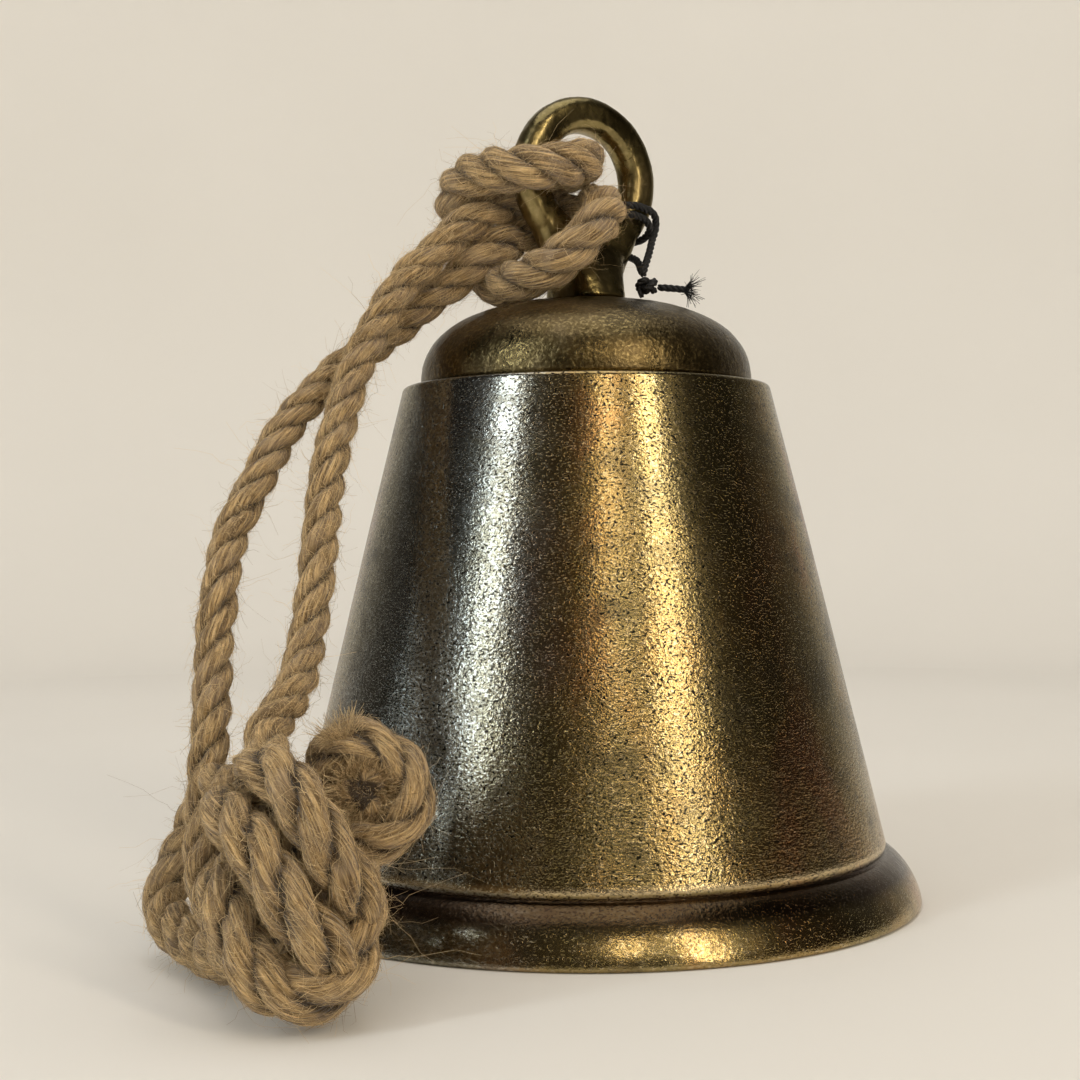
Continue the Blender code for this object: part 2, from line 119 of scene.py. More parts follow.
def smooth_route(route, step):
    """Points about one step apart along a Catmull-Rom curve through the route's own points."""
    route = np.asarray(route, float)
    ends = np.vstack([2 * route[0] - route[1], route, 2 * route[-1] - route[-2]])
    t = (np.arange(ROUTE_DIVISIONS) / ROUTE_DIVISIONS)[:, None]
    fine = []
    for a, b, c, d in zip(ends, ends[1:], ends[2:], ends[3:]):
        fine.append(0.5 * (2 * b + (c - a) * t + (2 * a - 5 * b + 4 * c - d) * t**2
                           + (3 * b - a - 3 * c + d) * t**3))
    fine = np.vstack(fine + [route[-1:]])
    return respaced(fine, step)


def respaced(line, step):
    """The same line through points that are evenly spaced, about one step apart."""
    along = lengths(line)
    at = np.linspace(0, along[-1], max(2, round(along[-1] / step)) + 1)
    return np.stack([np.interp(at, along, line[:, k]) for k in range(3)], axis=1)


def lengths(line):
    """How far along the line each of its points is."""
    return np.concatenate([[0.0], np.cumsum(np.linalg.norm(np.diff(line, axis=0), axis=1))])


def unit(v):
    return v / np.maximum(np.linalg.norm(v, axis=-1, keepdims=True), 1e-12)


def carried_frames(line):
    """A tangent and two normals at each point, turning as little as they can along the line."""
    tangent = unit(np.gradient(line, axis=0))
    normal = np.zeros_like(line)
    first = np.cross(tangent[0], [0.0, 0.0, 1.0])
    if np.linalg.norm(first) < 0.1:
        first = np.cross(tangent[0], [1.0, 0.0, 0.0])
    normal[0] = first / np.linalg.norm(first)
    for i in range(1, len(line)):
        kept = normal[i - 1] - tangent[i] * (normal[i - 1] @ tangent[i])
        normal[i] = kept / np.linalg.norm(kept)
    return tangent, normal, np.cross(tangent, normal)


def ring_quads(rings, sides, first=0):
    """The quads of a tube of this many rings, as vertex numbers."""
    i = np.arange(rings - 1)[:, None]
    j = np.arange(sides)[None, :]
    k = (j + 1) % sides
    quads = np.stack(np.broadcast_arrays(i * sides + j, i * sides + k, (i + 1) * sides + k,
                                         (i + 1) * sides + j), axis=-1)
    return quads.reshape(-1, 4) + first


def new_object(name, points, quads, finish, attributes=None):
    """A smooth mesh object from points in mm and quads, with float or vector values on its points."""
    data = bpy.data.meshes.new(name)
    data.vertices.add(len(points))
    data.vertices.foreach_set("co", (np.asarray(points) * MM).astype(np.float32).ravel())
    data.loops.add(quads.size)
    data.loops.foreach_set("vertex_index", quads.astype(np.int32).ravel())
    data.polygons.add(len(quads))
    data.polygons.foreach_set("loop_start", np.arange(0, quads.size, 4, dtype=np.int32))
    data.update(calc_edges=True)
    data.validate()
    for key, values in (attributes or {}).items():
        values = np.asarray(values, np.float32)
        kind, field = ("FLOAT", "value") if values.ndim == 1 else ("FLOAT_VECTOR", "vector")
        data.attributes.new(key, kind, "POINT").data.foreach_set(field, values.ravel())
    data.shade_smooth()
    data.materials.append(finish)
    return linked(name, data)


def linked(name, data):
    """A new object of this data, in the scene."""
    made = bpy.data.objects.new(name, data)
    bpy.context.scene.collection.objects.link(made)
    return made


def on_bell(piece, slot, *nodes):
    """Fixes a piece to the bell and hides the CAD nodes that it stands for. Its slot is not used."""
    if nodes:
        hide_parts(*nodes)
    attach(piece, "bell")


# ---------------------------------------------------------------- node helpers

def new_material(name):
    made = bpy.data.materials.new(name)
    made.use_nodes = True
    tree = made.node_tree
    tree.nodes.clear()
    shader = tree.nodes.new("ShaderNodeBsdfPrincipled")
    out = tree.nodes.new("ShaderNodeOutputMaterial")
    tree.links.new(shader.outputs[0], out.inputs[0])
    return made, tree, shader


def set_input(tree, socket, value):
    if isinstance(value, bpy.types.NodeSocket):
        tree.links.new(value, socket)
    else:
        socket.default_value = value


def node(tree, kind, out=0, settings=None, **inputs):
    """Adds a node and returns one of its outputs. Input names are written with _ for a space."""
    made = tree.nodes.new(kind)
    for key, value in (settings or {}).items():
        setattr(made, key, value)
    for key, value in inputs.items():
        name = key.replace("_", " ")
        socket = made.inputs[int(key[1:])] if key[0] == "i" and key[1:].isdigit() else made.inputs[name]
        set_input(tree, socket, value)
    return made.outputs[out]


def maths(tree, operation, a, b):
    """One of Blender's maths operations on two values or sockets."""
    return node(tree, "ShaderNodeMath", settings={"operation": operation}, i0=a, i1=b)


def times(tree, a, b):
    return maths(tree, "MULTIPLY", a, b)


def plus(tree, a, b):
    return maths(tree, "ADD", a, b)


def dot(tree, vector, direction):
    """How far a unit vector points along this fixed direction, from -1 to 1."""
    return node(tree, "ShaderNodeVectorMath", "Value", {"operation": "DOT_PRODUCT"}, i0=vector,
                i1=tuple(direction))


def scaled(tree, vector, factors):
    return node(tree, "ShaderNodeVectorMath", settings={"operation": "MULTIPLY"}, i0=vector, i1=factors)


def noise_texture(tree, vector, scale, detail=2.0, rough=0.5):
    return node(tree, "ShaderNodeTexNoise", Vector=vector, Scale=scale, Detail=detail, Roughness=rough)


def ramp(tree, factor, stops):
    """A colour ramp through (position, colour) stops."""
    made = tree.nodes.new("ShaderNodeValToRGB")
    elements = made.color_ramp.elements
    while len(elements) < len(stops):
        elements.new(0.5)
    for element, (place, colour) in zip(elements, stops):
        element.position = place
        element.color = (*colour, 1.0)
    tree.links.new(factor, made.inputs[0])
    return made.outputs[0]


def ramp_grey(tree, factor, low, high, start, end):
    """A value that goes from start to end as factor goes from low to high."""
    made = tree.nodes.new("ShaderNodeMapRange")
    for key, value in (("From Min", low), ("From Max", high), ("To Min", start), ("To Max", end)):
        made.inputs[key].default_value = value
    tree.links.new(factor, made.inputs["Value"])
    return made.outputs[0]


def mixed(tree, factor, a, b):
    """Colour a where factor is 0, colour b where it is 1."""
    made = tree.nodes.new("ShaderNodeMix")
    made.data_type = "RGBA"
    set_input(tree, made.inputs[0], factor)
    set_input(tree, made.inputs[6], a if not isinstance(a, tuple) else (*a, 1.0))
    set_input(tree, made.inputs[7], b if not isinstance(b, tuple) else (*b, 1.0))
    return made.outputs[2]


def attribute(tree, name, out="Fac"):
    return node(tree, "ShaderNodeAttribute", out, {"attribute_name": name})


def place_mm(tree):
    """The point's own place in the shared frame, in millimetres."""
    return scaled(tree, node(tree, "ShaderNodeTexCoord", "Object"), (1 / MM, 1 / MM, 1 / MM))


def bump(tree, shader, height, strength, distance):
    """Relief from height, this many mm deep, on the shader."""
    made = tree.nodes.new("ShaderNodeBump")
    set_input(tree, made.inputs["Height"], height)
    made.inputs["Strength"].default_value = strength
    made.inputs["Distance"].default_value = distance * MM
    tree.links.new(made.outputs[0], shader.inputs["Normal"])


def set_shader(tree, shader, **inputs):
    """Sets or links the shader's inputs. Names are written with _ for a space."""
    for key, value in inputs.items():
        set_input(tree, shader.inputs[key.replace("_", " ")], value)


# ---------------------------------------------------------------- finishes

# The side that is painted silver grey as the cool window's reflection.
WINDOW_REFLECTION_SIDE = math.radians(-42)  # how far round from the camera's side, to the left
PIT_COLOUR = (0.010, 0.007, 0.003)
STAIN_COLOUR = (0.10, 0.080, 0.045)
WORN_BRASS = (0.78, 0.65, 0.42)
# The light gold of the painted highlight on the edge above the groove.
EDGE_HIGHLIGHT_COLOUR = (0.75, 0.60, 0.36)
# The near-black of the painted shade in the groove above the lip.
GROOVE_SHADE_COLOUR = (0.045, 0.020, 0.008)
# The silver greys of the painted reflection of the cool window.
REFLECTION_SILVER_DARK, REFLECTION_SILVER_LIGHT = (0.22, 0.222, 0.195), (0.52, 0.55, 0.53)
CAST_HOLLOW_COLOUR = (0.02, 0.014, 0.007)
GREY_JUTE = (0.33, 0.245, 0.17)
# The deep brown of the painted shade in the rope's grooves.
GROOVE_SHADE_JUTE = (0.042, 0.024, 0.010)


def jute_finish(name, light, mid, dark):
    """Spun jute: fibre streaks along the strand, patches of paler and greyer fibre, and painted shade in the
    grooves between strands.
    """
    made, tree, shader = new_material(name)
    fibre = attribute(tree, "fibre", "Vector")
    streaks = noise_texture(tree, scaled(tree, fibre, (1.0, 1.0, 0.09)), 4.2, 3.0, 0.66)
    yarns = noise_texture(tree, scaled(tree, fibre, (1.0, 1.0, 0.10)), 1.5, 2.0, 0.5)
    patches = noise_texture(tree, place_mm(tree), 0.16, 3.0, 0.55)
    colour = ramp(tree, streaks, [(0.34, dark), (0.47, mid), (0.62, light)])
    colour = mixed(tree, ramp_grey(tree, yarns, 0.36, 0.56, 0.75, 0.0), colour, dark)
    colour = mixed(tree, ramp_grey(tree, patches, 0.48, 0.66, 0.0, 0.5), colour, GREY_JUTE)
    # Painted shade: the jute darkens towards deep brown where a point lies deep in the grooves between
    # strands.
    shade = ramp_grey(tree, attribute(tree, "groove"), 0.08, 0.72, 0.0, 0.95)
    colour = mixed(tree, shade, colour, GROOVE_SHADE_JUTE)
    set_shader(tree, shader, Base_Color=colour, Roughness=0.88, Specular_IOR_Level=0.25,
               Sheen_Weight=0.25, Sheen_Roughness=0.45)
    bump(tree, shader, plus(tree, streaks, times(tree, yarns, 1.3)), 1.0, 0.6)
    return made


def fibre_finish(name, light, dark):
    """Loose single fibres, each its own shade."""
    made, tree, shader = new_material(name)
    colour = ramp(tree, attribute(tree, "shade"), [(0.0, dark), (1.0, light)])
    set_shader(tree, shader, Base_Color=colour, Roughness=0.6, Specular_IOR_Level=0.35)
    return made


def black_cord_finish():
    """Black cotton, with streaks along its strands."""
    made, tree, shader = new_material("black_cord")
    fibre = attribute(tree, "fibre", "Vector")
    streaks = noise_texture(tree, scaled(tree, fibre, (1.0, 1.0, 0.15)), 18.0, 2.0, 0.5)
    colour = ramp(tree, streaks, [(0.3, (0.004, 0.004, 0.005)), (0.7, (0.02, 0.02, 0.022))])
    set_shader(tree, shader, Base_Color=colour, Roughness=ramp_grey(tree, streaks, 0.3, 0.7, 0.45, 0.7))
    bump(tree, shader, streaks, 0.7, 0.08)
    return made


def brass_colour(tree, place, clouds, grain):
    """Cloudy brass with bright worn grains, and painted silver grey on the side that faces the cool window,
    as that window's reflection.
    """
    colour = ramp(tree, clouds, [(0.34, (0.24, 0.195, 0.090)), (0.46, (0.34, 0.262, 0.110)),
                                 (0.58, (0.41, 0.285, 0.112)), (0.70, (0.45, 0.240, 0.105))])
    colour = mixed(tree, ramp_grey(tree, grain, 0.50, 0.72, 0.0, 0.5), colour, WORN_BRASS)
    around = node(tree, "ShaderNodeVectorMath", settings={"operation": "NORMALIZE"},
                  i0=scaled(tree, place, (1.0, 1.0, 0.0)))
    # Painted reflection: the side that faces the cool window turns silver grey, lighter at the grains.
    towards = dot(tree, around, RIGHT * math.sin(WINDOW_REFLECTION_SIDE) + NEAR * math.cos(WINDOW_REFLECTION_SIDE))
    silvery = plus(tree, towards, times(tree, clouds, 0.25))
    silver = mixed(tree, ramp_grey(tree, grain, 0.45, 0.70, 0.0, 1.0), REFLECTION_SILVER_DARK, REFLECTION_SILVER_LIGHT)
    return mixed(tree, ramp_grey(tree, silvery, 0.95, 1.10, 0.0, 0.88), colour, silver)


def brass_finish():
    """The turned skirt: antique brass, pitted, with turning marks and stains, one side painted silver grey as
    the cool window's reflection, a painted highlight on the edge at its foot and painted shade in the groove
    above the lip."""
    made, tree, shader = new_material("antique_brass")
    place = place_mm(tree)
    split = tree.nodes.new("ShaderNodeSeparateXYZ")
    tree.links.new(place, split.inputs[0])
    up = split.outputs["Z"]
    flat = scaled(tree, place, (1.0, 1.0, 1.5))
    grain = noise_texture(tree, flat, 1.25, 2.5, 0.55)
    fine = noise_texture(tree, flat, 3.2, 2.0, 0.5)
    pits = noise_texture(tree, flat, 2.0, 0.0, 0.4)
    turning = noise_texture(tree, scaled(tree, place, (0.05, 0.05, 1.0)), 2.4, 3.0, 0.6)
    clouds = noise_texture(tree, scaled(tree, place, (1.0, 1.0, 0.5)), 0.055, 3.0, 0.55)
    stains = noise_texture(tree, scaled(tree, place, (1.0, 1.0, 1.3)), 0.10, 4.0, 0.6)
    pit = times(tree, ramp_grey(tree, pits, 0.30, 0.37, 0.96, 0.0), ramp_grey(tree, up, 5.0, 12.0, 0.4, 1.0))
    # Painted highlight: a lighter band on the edge just above the groove, for the gold line that this edge
    # reflects.
    worn = times(tree, ramp_grey(tree, up, 10.9, 11.4, 0.0, 1.0), ramp_grey(tree, up, 12.6, 11.8, 0.0, 1.0))
    # Painted shade: darkens the groove between the wall and the lip, from about 7 to 11 mm up.
    groove = times(tree, ramp_grey(tree, up, 11.2, 10.4, 0.0, 1.0), ramp_grey(tree, up, 5.2, 7.2, 0.0, 1.0))
    colour = brass_colour(tree, place, clouds, grain)
    colour = mixed(tree, ramp_grey(tree, stains, 0.52, 0.72, 0.0, 0.7), colour, STAIN_COLOUR)
    colour = mixed(tree, pit, colour, PIT_COLOUR)
    colour = mixed(tree, times(tree, worn, 0.6), colour, EDGE_HIGHLIGHT_COLOUR)
    colour = mixed(tree, times(tree, groove, 0.86), colour, GROOVE_SHADE_COLOUR)
    rough = ramp_grey(tree, plus(tree, stains, times(tree, fine, 0.4)), 0.45, 0.95, 0.13, 0.26)
    set_shader(tree, shader, Base_Color=colour, Metallic=1.0, Roughness=rough, Coat_Weight=0.15,
               Coat_Roughness=0.2)
    low = times(tree, ramp_grey(tree, up, 98.0, 25.0, 0.42, 0.95), ramp_grey(tree, up, 6.5, 9.5, 0.38, 1.0))
    height = times(tree, plus(tree, grain, times(tree, fine, 0.4)), low)
    height = plus(tree, height, times(tree, turning, times(tree, low, 0.35)))
    height = maths(tree, "SUBTRACT", height, times(tree, pit, 0.6))
    bump(tree, shader, height, 0.62, 0.17)
    return made


def cast_finish(name, clouded, high, rough, grain_size, depth):
    """Sand-cast bronze: three clouded shades, a rough skin with brighter high points, dark hollows."""
    made, tree, shader = new_material(name)
    place = place_mm(tree)
    grain = noise_texture(tree, place, 1.0 / grain_size, 3.0, 0.6)
    clouds = noise_texture(tree, place, 0.09, 3.0, 0.55)
    colour = ramp(tree, clouds, list(zip((0.32, 0.5, 0.68), clouded)))
    colour = mixed(tree, ramp_grey(tree, grain, 0.50, 0.68, 0.0, 0.6), colour, high)
    colour = mixed(tree, ramp_grey(tree, grain, 0.30, 0.40, 0.45, 0.0), colour, CAST_HOLLOW_COLOUR)
    set_shader(tree, shader, Base_Color=colour, Metallic=1.0,
               Roughness=ramp_grey(tree, clouds, 0.3, 0.7, rough - 0.06, rough + 0.08))
    bump(tree, shader, grain, 0.8, depth)
    return made


def floor_finish():
    """A pale, matt table top."""
    made, tree, shader = new_material("pale_floor")
    clouds = noise_texture(tree, node(tree, "ShaderNodeTexCoord", "Object"), 3.0, 3.0, 0.5)
    colour = ramp(tree, clouds, [(0.3, (0.79, 0.765, 0.725)), (0.7, (0.82, 0.795, 0.755))])
    set_shader(tree, shader, Base_Color=colour, Roughness=0.7, Specular_IOR_Level=0.2)
    return made


# ---------------------------------------------------------------- rope

STRANDS, SIDES, STEP = 3, 24, 0.5
STRAND_OUT, STRAND_RADIUS = 0.475, 0.535  # shares of the rope's radius
STRAND_WANDER, STRAND_LOOSENESS, STRAND_SWELLING = 0.5, 0.08, 0.10
BROAD_RIDGE, FINE_RIDGE = 0.12, 0.075
ROPE_DIAMETER, ROPE_LAY = 6.5, 19.5
HITCH_RADIUS, HITCH_OVERLAP = 4.2, 2.0  # the rope opens out where it is squeezed round the eye
SWELL_LENGTH = 5.0
TAG_CORD_DIAMETER, TAG_LAY, TAG_FIBRE_LAY, TAG_SIDES, TAG_STEP = 1.55, 3.4, 4.0, 10, 0.25

# Routes in the shared frame, in mm. Each fall starts at the hitch and ends at the knot.
HITCH_ROUTE = [
    (-14.4, 6.8, 134.8), (-10.2, 7.2, 136.2), (-5.6, 6.4, 139.2), (-2.6, 1.5, 141.4),
    (-3.2, -5.0, 141.8), (-8.4, -8.3, 140.0), (-13.9, -8.0, 139.1), (-18.7, -4.6, 138.7),
    (-21.4, 1.6, 138.9), (-22.4, 8.0, 138.3), (-20.8, 14.0, 135.4), (-17.0, 17.8, 130.8),
    (-14.2, 17.4, 125.4), (-13.2, 13.1, 120.6), (-14.9, 6.8, 118.5), (-15.8, -0.5, 118.4),
    (-12.6, -8.8, 121.1), (-7.1, -11.5, 126.4), (-2.2, -9.3, 131.0), (0.9, -3.5, 134.0),
    (-0.2, 3.7, 133.2), (-5.7, 7.6, 130.8), (-11.2, 8.0, 127.8),
]
RIGHT_FALL_ROUTE = [
    (-15.3, 6.9, 134.3), (-19.6, 7.3, 131.8), (-24.1, 7.9, 128.4), (-29.6, 8.6, 123.2),
    (-35.1, 9.0, 118.0), (-39.3, 8.4, 112.7), (-43.1, 7.3, 107.0), (-46.5, 5.9, 102.0),
    (-48.9, 4.7, 97.5), (-52.9, 2.2, 88.7), (-55.3, 0.2, 83.5), (-58.0, -2.9, 76.3),
    (-61.4, -7.8, 67.5), (-65.0, -12.6, 57.6), (-68.0, -16.2, 51.2), (-71.4, -20.4, 46.6),
    (-75.0, -24.4, 43.4), (-78.8, -27.8, 40.8), (-81.6, -30.6, 38.8),
]
LEFT_FALL_ROUTE = [
    (-12.2, 8.0, 127.5), (-15.2, 7.0, 126.4), (-19.1, 8.1, 123.6), (-23.2, 10.9, 119.3),
    (-27.9, 13.0, 115.2), (-32.2, 14.4, 111.2), (-36.7, 15.4, 107.6), (-41.3, 15.8, 104.6),
    (-45.9, 15.4, 101.3), (-51.4, 14.3, 96.5), (-56.6, 12.9, 91.6), (-62.1, 10.5, 85.1),
    (-66.1, 8.4, 79.2), (-70.8, 6.6, 72.0), (-74.4, 3.0, 65.0), (-77.5, -0.9, 55.4),
    (-79.9, -5.3, 47.4), (-81.8, -8.9, 39.8), (-83.9, -12.3, 32.0), (-85.8, -15.8, 24.4),
    (-87.4, -19.4, 18.7), (-88.4, -24.0, 14.2), (-88.7, -29.4, 11.6),
]
IN_KNOT_RIGHT, IN_KNOT_LEFT = (-83.6, -37.2, 34.8), (-88.0, -38.2, 11.0)
BRIDGE = HITCH_ROUTE[11]  # the middle of the rope, behind the eye's leg
TAG_TURNS_ROUTE = [
    (9.6, -6.0, 120.6), (10.6, -5.4, 122.6), (12.2, -4.6, 125.4), (13.8, -3.6, 128.4),
    (14.8, -3.4, 131.2), (13.4, -4.6, 133.4), (9.8, -4.9, 134.4), (6.4, -4.4, 134.4),
    (5.4, 0.0, 134.4), (6.2, 4.3, 133.2), (9.6, 4.8, 130.9), (12.6, 3.5, 129.2), (13.6, 0.2, 128.8),
    (13.3, -3.4, 130.2), (11.4, -4.7, 131.9), (8.2, -4.8, 132.7), (4.9, -4.4, 132.6),
    (4.7, -0.2, 133.2), (4.9, 4.4, 131.8), (8.2, 5.1, 129.0), (11.2, 4.4, 126.6),
    (12.2, 1.2, 125.4), (11.6, -1.8, 124.0), (10.9, -4.0, 121.4),
]
TAG_TAIL_ROUTE = [(10.6, -9.4, 118.0), (12.6, -11.4, 117.7), (14.8, -13.4, 117.3)]
TAG_SHORT_END_ROUTE = [(8.0, -7.6, 118.0), (7.4, -8.2, 116.9), (7.6, -8.6, 115.9)]
TAG_KNOT_CENTRE, TAG_KNOT_SIZE, TAG_KNOT_TURN = (9.0, -8.3, 118.3), (1.35, 1.15, 1.2), 0.5

# The knot at the foot, as (right, towards the camera, up): one rope that passes three times over
# the front and twice behind, then climbs behind its own top pass into the turn at its end.
KNOT_ROUTE = [
    (-46.5, 78.0, 29.0), (-50.0, 79.5, 32.5), (-51.0, 84.0, 34.6), (-48.8, 88.5, 36.0), (-45.6, 92.0, 35.2),
    (-43.0, 95.0, 32.6), (-40.5, 96.0, 28.8), (-38.0, 95.0, 24.0), (-36.0, 92.0, 19.3), (-35.8, 87.0, 15.4),
    (-38.0, 81.5, 13.0), (-43.0, 78.5, 15.0), (-49.0, 78.0, 20.5), (-54.0, 80.5, 27.0), (-55.4, 86.0, 29.8),
    (-52.8, 91.0, 29.0), (-50.0, 94.6, 26.6), (-47.5, 96.8, 23.6), (-45.0, 98.0, 20.0), (-42.2, 98.0, 16.0),
    (-39.4, 96.0, 12.2), (-38.0, 91.0, 9.0), (-40.0, 85.5, 7.0), (-45.0, 81.5, 8.5), (-51.0, 80.5, 13.0),
    (-54.6, 83.0, 18.0), (-54.8, 88.5, 18.4), (-53.2, 92.6, 14.8), (-50.6, 95.4, 11.0), (-47.4, 96.8, 7.8),
    (-43.6, 97.0, 6.0), (-40.0, 96.0, 6.0), (-37.2, 94.0, 8.0), (-36.0, 91.0, 11.4), (-35.8, 87.4, 15.0),
    (-36.4, 82.5, 18.8), (-38.6, 77.0, 19.6), (-42.0, 71.5, 21.0), (-43.8, 67.6, 26.0), (-43.8, 67.0, 31.6),
    (-41.8, 69.0, 36.0), (-38.2, 71.0, 38.2), (-33.8, 72.0, 37.0), (-30.2, 73.5, 34.0), (-28.8, 75.0, 30.0),
    (-29.8, 76.5, 26.4), (-33.2, 77.5, 24.2), (-37.5, 77.0, 23.4), (-41.0, 73.0, 21.8), (-42.0, 68.0, 20.0),
]
KNOT_PASS_POINTS = 38  # the points of the route before the turn at its end
KNOT_RADIUS, END_TURN_RADIUS, CORE_RADIUS, CUT_END_RADIUS = 3.95, 3.5, 5.2, 3.7
BIGHT_ROUTE = [
    (-54.0, 76.0, 24.0), (-58.0, 66.0, 28.0), (-61.5, 57.0, 30.0), (-64.5, 51.5, 26.0), (-67.6, 49.5, 20.0),
    (-70.6, 49.0, 14.0), (-71.8, 50.5, 9.4), (-70.0, 55.0, 6.8), (-66.0, 61.0, 5.8), (-61.5, 68.0, 5.4),
    (-56.5, 76.0, 6.0), (-52.0, 82.0, 8.0),
]
BIGHT_RADIUS = 3.75
CORE_ROUTE = [(-62.0, 58.0, 17.0), (-57.0, 66.0, 16.0), (-51.0, 77.0, 14.0), (-46.5, 87.0, 15.0),
              (-45.5, 88.0, 22.0), (-46.5, 84.5, 31.0)]
CUT_END_ROUTE = [(-37.5, 60.0, 26.5), (-37.0, 66.0, 28.5), (-36.2, 72.0, 30.4), (-36.0, 78.0, 31.2)]


def eased_in(along, place):
    """A value that goes smoothly from 0 to 1 as along passes place."""
    return 1 / (1 + np.exp((place - along) / SWELL_LENGTH))


def strand_grids(line, radius, lay, phase, seed, sides=SIDES, fibre_lay=30.0, rough=1.0):
    """The surface of each strand of a rope laid along line: (strands, rings, sides, 3) points,
    with each point's place in its own strand's fibres and how deep it lies in the grooves."""
    along = lengths(line)
    _, normal, side = carried_frames(line)
    radius = np.broadcast_to(radius, len(line)).astype(float)
    grids = []
    fibres = []
    grooves = []
    around = 2 * math.pi * np.arange(sides) / sides
    zero = along * 0
    wander = noise(np.stack([along, zero, zero], 1), 9.0, seed + 50)
    for k in range(STRANDS):
        turn = phase + 2 * math.pi * (along / lay + k / STRANDS) + STRAND_WANDER * wander
        loose = noise(np.stack([along, zero + 31 * k, zero], 1), 6.0, seed + k)
        out = STRAND_OUT * radius * (1 + STRAND_LOOSENESS * loose)
        middle = line + out[:, None] * (np.cos(turn)[:, None] * normal + np.sin(turn)[:, None] * side)
        _, n, b = carried_frames(middle)
        swelling = noise(np.stack([along, zero, zero + 17 * k], 1), 4.5, seed + 9, 2)
        thick = STRAND_RADIUS * radius * (1 + STRAND_SWELLING * swelling)
        twist = -2 * math.pi * along / fibre_lay
        angle = around[None, :] + twist[:, None]
        fibre = np.stack(np.broadcast_arrays(thick[:, None] * np.cos(around),
                                             thick[:, None] * np.sin(around),
                                             along[:, None] + 57.0 * k), axis=-1)
        flat = fibre.reshape(-1, 3) * [1.0, 1.0, 0.11]
        size = thick.mean()
        ridges = (BROAD_RIDGE * noise(flat, 0.55 * size, seed + 3 * k, 2)
                  + FINE_RIDGE * noise(flat, 0.19 * size, seed + 5 * k, 2))
        reach = thick[:, None] * (1 + rough * ridges.reshape(len(line), sides))
        grid = middle[:, None] + reach[..., None] * (np.cos(angle)[..., None] * n[:, None]
                                                     + np.sin(angle)[..., None] * b[:, None])
        far = np.linalg.norm(grid - line[:, None], axis=-1) / radius[:, None]
        grids.append(grid)
        fibres.append(fibre)
        grooves.append(np.clip((0.96 - far) / 0.34, 0, 1))
    return np.array(grids), np.array(fibres), np.array(grooves)


END_SHARES = (0.02, 0.6, 0.87)  # how wide the first rings of a closed end are


def rope_object(name, grids, fibres, grooves, finish, closed="both"):
    """One mesh of all the strands. A closed end draws in to a point."""
    strands, rings, sides, _ = grids.shape
    grids = grids.copy()
    for which, end, step in (("start", 0, 1), ("end", rings - 1, -1)):
        if closed not in (which, "both"):
            continue
        hub = grids[:, end].mean(axis=1, keepdims=True)
        for i, share in enumerate(END_SHARES):
            ring = grids[:, end + step * i]
            grids[:, end + step * i] = hub + (ring - hub) * share
    quads = np.vstack([ring_quads(rings, sides, k * rings * sides) for k in range(strands)])
    return new_object(name, grids.reshape(-1, 3), quads, finish,
                      {"fibre": fibres.reshape(-1, 3), "groove": grooves.ravel()})


def hairs(name, grids, grooves, finish, count, seed, longest, lift, thickness, points, stray):
    """Loose fibres: each follows its strand for a while, then lifts off it in a curve of its own."""
    draw = np.random.default_rng(seed)
    strands, rings, sides, _ = grids.shape
    step = np.linalg.norm(np.diff(grids[0, :, 0], axis=0), axis=1).mean()
    k = draw.integers(0, strands, count * 3)
    start = draw.integers(0, rings - 1, count * 3)
    side = draw.integers(0, sides, count * 3)
    keep = np.flatnonzero(grooves[k, start, side] < 0.6)[:count]
    k, start, side = k[keep], start[keep], side[keep]
    count = len(k)
    long = longest * draw.beta(1.6, 3.5, count)
    way = draw.choice([-1, 1], count)
    drift = draw.normal(0, stray, count)
    share = np.linspace(0, 1, points)
    ring = start[:, None] + way[:, None] * long[:, None] * share / step
    ring = np.clip(ring, 0, rings - 1)
    low = np.floor(ring).astype(int)
    high = np.minimum(low + 1, rings - 1)
    part = (ring - low)[..., None]
    column = (side[:, None] + np.round(drift[:, None] * share * 3)).astype(int) % sides
    on = grids[k[:, None], low, column] * (1 - part) + grids[k[:, None], high, column] * part
    hub = grids[k[:, None], low].mean(axis=2)
    out = unit(on - hub)
    raised = lift * draw.gamma(1.0, 1.0, count)[:, None] * share**2
    astray = draw.normal(0, 1, (count, 3))[:, None] * (raised * 0.45)[..., None]
    line = on + out * (raised + 0.03)[..., None] + astray
    return hair_object(name, line, finish, draw, thickness)


def furred(name, grids, grooves, finish, count, seed):
    """A rope's loose fibres: a nap of short ones that lie close, and fewer that stand off it."""
    nap = hairs(name + "_nap", grids, grooves, finish, count, seed, 6.5, 0.40, 0.036, 5, 1.5)
    fuzz = hairs(name + "_fuzz", grids, grooves, finish, count // 5, seed + 1, 8.5, 1.5, 0.028, 8, 0.8)
    return [nap, fuzz]


def hair_object(name, line, finish, draw, thickness):
    """Three-sided tapering fibres along line (count, points, 3)."""
    count, points, _ = line.shape
    tangent = unit(np.gradient(line, axis=1))
    across = unit(np.cross(tangent, unit(draw.normal(0, 1, (count, 1, 3)))))
    other = np.cross(tangent, across)
    thick = thickness * draw.uniform(0.6, 1.3, (count, 1)) * np.linspace(1.0, 0.45, points)
    turns = 2 * math.pi * np.arange(3) / 3
    rings = line[:, :, None] + thick[..., None, None] * (np.cos(turns)[:, None] * across[:, :, None]
                                                         + np.sin(turns)[:, None] * other[:, :, None])
    rings[..., 2] = np.maximum(rings[..., 2], 0.05)
    one = ring_quads(points, 3)
    quads = (one[None] + (np.arange(count) * points * 3)[:, None, None]).reshape(-1, 4)
    shade = np.repeat(draw.uniform(0, 1, count), points * 3)
    return new_object(name, rings.reshape(-1, 3), quads, finish, {"shade": shade})


